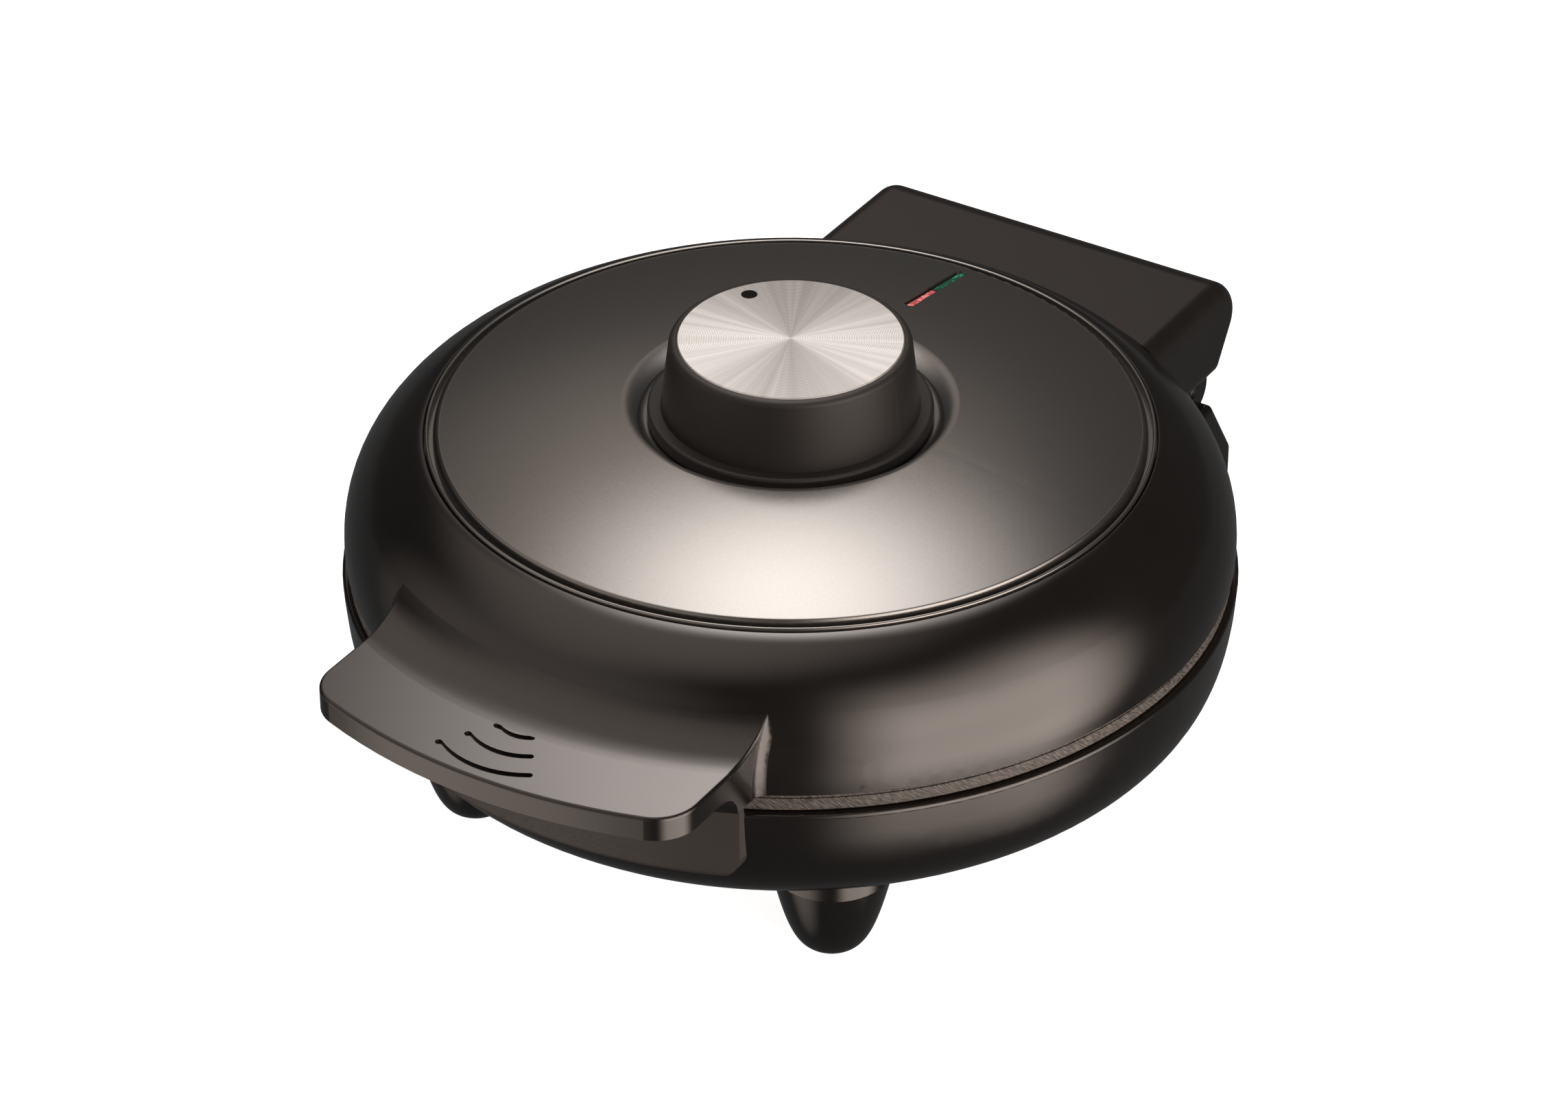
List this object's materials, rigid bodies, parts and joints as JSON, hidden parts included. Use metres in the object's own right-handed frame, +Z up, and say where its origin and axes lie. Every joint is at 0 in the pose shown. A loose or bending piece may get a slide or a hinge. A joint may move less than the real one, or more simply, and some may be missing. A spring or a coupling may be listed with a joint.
{
  "type": "donut maker",
  "caption": "Round electric donut maker with a hinged lid, ring moulds in both plates, a front handle, a thermostat knob and two indicator lamps.",
  "frame": {"origin": "on the floor, under the round body's axis, halfway between the handle's front and the rear housing's back", "axes": "+Z up, -Y towards the handle, +Y towards the hinge, +X to the right seen from the front"},
  "size_m": [0.218, 0.276, 0.1182],
  "materials": {
    "shell": "gloss black moulded plastic",
    "grip": "fine grained black plastic",
    "panel": "satin gunmetal paint",
    "band": "grained dark grey heat-proof plastic",
    "plate": "dark non-stick coating",
    "heater": "dull heater sheath",
    "sheet": "plain sheet",
    "steel": "zinc plated",
    "pad": "soft rubber",
    "knob": "satin black plastic",
    "cap": "spun rings",
    "red": "clear red",
    "green": "clear green",
    "insulator": "cream heat-proof plastic",
    "lamp": "clear",
    "wire": "heat-proof sleeve",
    "gland": "black plastic"
  },
  "bodies": {
    "base": {"base_bezel": "band", "base_handle": "grip", "base_screws": "steel", "base_shell": "shell", "base_wires": "wire", "cord_gland": "gland", "foot_front_left": "shell", "foot_front_right": "shell", "foot_pad_front_left": "pad", "foot_pad_front_right": "pad", "foot_pad_rear_left": "pad", "foot_pad_rear_right": "pad", "foot_rear_left": "shell", "foot_rear_right": "shell", "foot_screws": "steel", "fuse_clip": "steel", "hinge_pin": "steel", "lower_clip_screws": "steel", "lower_heating_element": "heater", "lower_plate": "plate", "lower_plate_clips": "steel", "lower_reflector": "sheet", "lower_reflector_screws": "steel", "terminal_block": "insulator", "terminal_screw": "steel", "thermal_fuse": "steel"},
    "lid": {"green_lens": "green", "hinge_block_screws": "steel", "indicator_lamps": "lamp", "lamp_holder": "insulator", "lid_bezel": "band", "lid_hinge_block": "shell", "lid_panel": "panel", "lid_screws": "steel", "lid_shell": "shell", "panel_screws": "steel", "red_lens": "red", "thermostat": "insulator", "thermostat_bracket": "steel", "thermostat_screws": "steel", "upper_clip_screws": "steel", "upper_heating_element": "heater", "upper_plate": "plate", "upper_plate_clips": "steel", "upper_reflector": "sheet", "upper_reflector_screws": "steel"},
    "knob": {"knob_body": "knob", "knob_cap": "cap", "thermostat_shaft": "steel"}
  },
  "joints": [
    {"name": "lid_hinge", "type": "hinge", "parent": "base", "child": "lid", "pos_m": [0, 0.122, 0.0539], "axis": [-1, 0, 0], "range_deg": [0, 95]},
    {"name": "knob_turn", "type": "hinge", "parent": "lid", "child": "knob", "pos_m": [0, 0, 0.1064], "axis": [0, 0, 1], "range_deg": [-195, 75]}
  ]
}
